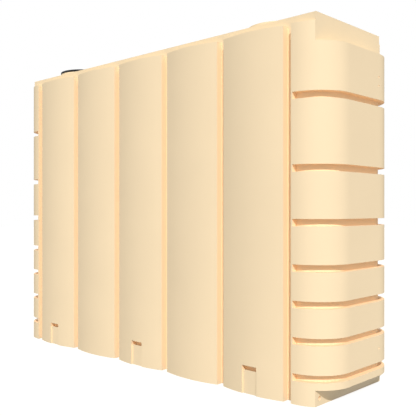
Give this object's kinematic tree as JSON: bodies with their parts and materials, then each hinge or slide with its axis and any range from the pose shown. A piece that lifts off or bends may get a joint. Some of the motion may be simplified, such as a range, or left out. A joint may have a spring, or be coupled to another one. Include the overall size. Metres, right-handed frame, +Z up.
{
  "type": "slimline water tank",
  "caption": "Tall narrow rainwater tank moulded in one hollow piece, with bulged wall panels, band grooves round its ends, roof turrets and an inlet strainer.",
  "frame": {"origin": "middle of the tank's footprint at ground level", "axes": "+X along the length towards the closed turret, +Y from the outlet face to the back, +Z up"},
  "size_m": [3.017, 0.8516, 2.234],
  "materials": {
    "tank_polyethylene": "smooth matt cream moulding",
    "black_plastic": "satin black moulding",
    "steel_mesh": "woven stainless wire",
    "screw_steel": "plain stainless"
  },
  "bodies": {
    "root": {"tank_shell": "tank_polyethylene", "strainer_basket": "black_plastic", "insect_mesh": "steel_mesh", "mesh_ring": "black_plastic", "strainer_screws": "screw_steel"}
  },
  "joints": []
}
